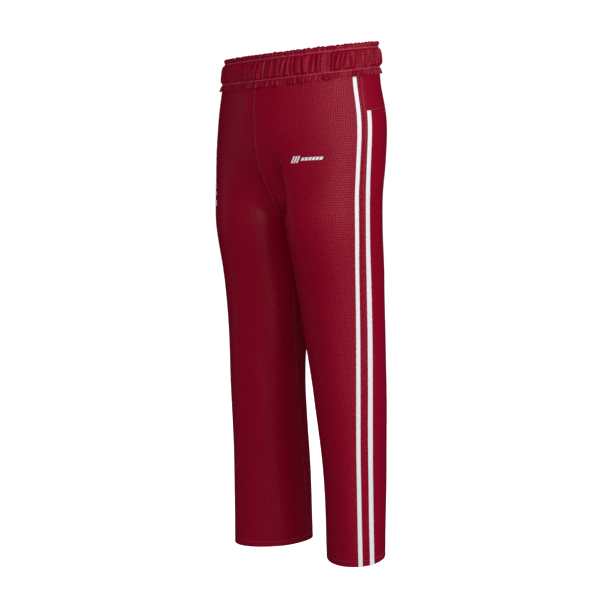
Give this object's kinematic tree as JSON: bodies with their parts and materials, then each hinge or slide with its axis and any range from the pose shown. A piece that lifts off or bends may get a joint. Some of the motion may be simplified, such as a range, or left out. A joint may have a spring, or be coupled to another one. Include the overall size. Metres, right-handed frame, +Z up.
{
  "type": "hockey pants",
  "caption": "Full-length unpadded trousers for ice hockey teams, with a gathered elastic waistband and twin side stripes.",
  "frame": {"origin": "centre of the waist opening, at the height of its rim at the sides", "axes": "+Z up out of the waist, -Y toward the wearer's front, +X toward the wearer's left"},
  "size_m": [0.3786, 0.2841, 1.0379],
  "materials": {
    "shell_fabric": "satin",
    "elastic": "matte",
    "stripe_tape": "satin",
    "reflective_print": "satin"
  },
  "bodies": {
    "seat": {"back_yoke_left": "shell_fabric", "back_yoke_right": "shell_fabric", "front_print_left": "reflective_print", "seat_back_left": "shell_fabric", "seat_back_right": "shell_fabric", "seat_front_left": "shell_fabric", "seat_front_right": "shell_fabric", "side_print_right": "reflective_print", "stripe_back_seat_left": "stripe_tape", "stripe_back_seat_right": "stripe_tape", "stripe_front_seat_left": "stripe_tape", "stripe_front_seat_right": "stripe_tape", "waistband_casing": "shell_fabric", "waistband_elastic": "elastic"},
    "left_thigh": {"hip_fold_back_left": "shell_fabric", "hip_fold_front_left": "shell_fabric", "knee_fold_back_left": "shell_fabric", "knee_fold_front_left": "shell_fabric", "stripe_back_hip_fold_left": "stripe_tape", "stripe_back_knee_fold_left": "stripe_tape", "stripe_back_thigh_left": "stripe_tape", "stripe_front_hip_fold_left": "stripe_tape", "stripe_front_knee_fold_left": "stripe_tape", "stripe_front_thigh_left": "stripe_tape", "thigh_back_left": "shell_fabric", "thigh_front_left": "shell_fabric"},
    "right_thigh": {"hip_fold_back_right": "shell_fabric", "hip_fold_front_right": "shell_fabric", "knee_fold_back_right": "shell_fabric", "knee_fold_front_right": "shell_fabric", "stripe_back_hip_fold_right": "stripe_tape", "stripe_back_knee_fold_right": "stripe_tape", "stripe_back_thigh_right": "stripe_tape", "stripe_front_hip_fold_right": "stripe_tape", "stripe_front_knee_fold_right": "stripe_tape", "stripe_front_thigh_right": "stripe_tape", "thigh_back_right": "shell_fabric", "thigh_front_right": "shell_fabric"},
    "left_shin": {"hem_facing_left": "shell_fabric", "shin_back_left": "shell_fabric", "shin_front_left": "shell_fabric", "stripe_back_shin_left": "stripe_tape", "stripe_front_shin_left": "stripe_tape"},
    "right_shin": {"hem_facing_right": "shell_fabric", "shin_back_right": "shell_fabric", "shin_front_right": "shell_fabric", "stripe_back_shin_right": "stripe_tape", "stripe_front_shin_right": "stripe_tape"}
  },
  "joints": [
    {"name": "left_hip", "type": "hinge", "parent": "seat", "child": "left_thigh", "pos_m": [0.095, 0.002, -0.405], "axis": [-1, 0, 0], "range_deg": [-20, 40], "deforming": ["hip_fold_back_left", "hip_fold_front_left", "stripe_back_hip_fold_left", "stripe_front_hip_fold_left"]},
    {"name": "right_hip", "type": "hinge", "parent": "seat", "child": "right_thigh", "pos_m": [-0.095, 0.002, -0.405], "axis": [-1, 0, 0], "range_deg": [-20, 40], "deforming": ["hip_fold_back_right", "hip_fold_front_right", "stripe_back_hip_fold_right", "stripe_front_hip_fold_right"]},
    {"name": "left_knee", "type": "hinge", "parent": "left_thigh", "child": "left_shin", "pos_m": [0.102, 0.006, -0.58], "axis": [1, 0, 0], "range_deg": [0, 70], "deforming": ["knee_fold_back_left", "knee_fold_front_left", "stripe_back_knee_fold_left", "stripe_front_knee_fold_left"]},
    {"name": "right_knee", "type": "hinge", "parent": "right_thigh", "child": "right_shin", "pos_m": [-0.102, 0.006, -0.58], "axis": [1, 0, 0], "range_deg": [0, 70], "deforming": ["knee_fold_back_right", "knee_fold_front_right", "stripe_back_knee_fold_right", "stripe_front_knee_fold_right"]}
  ]
}
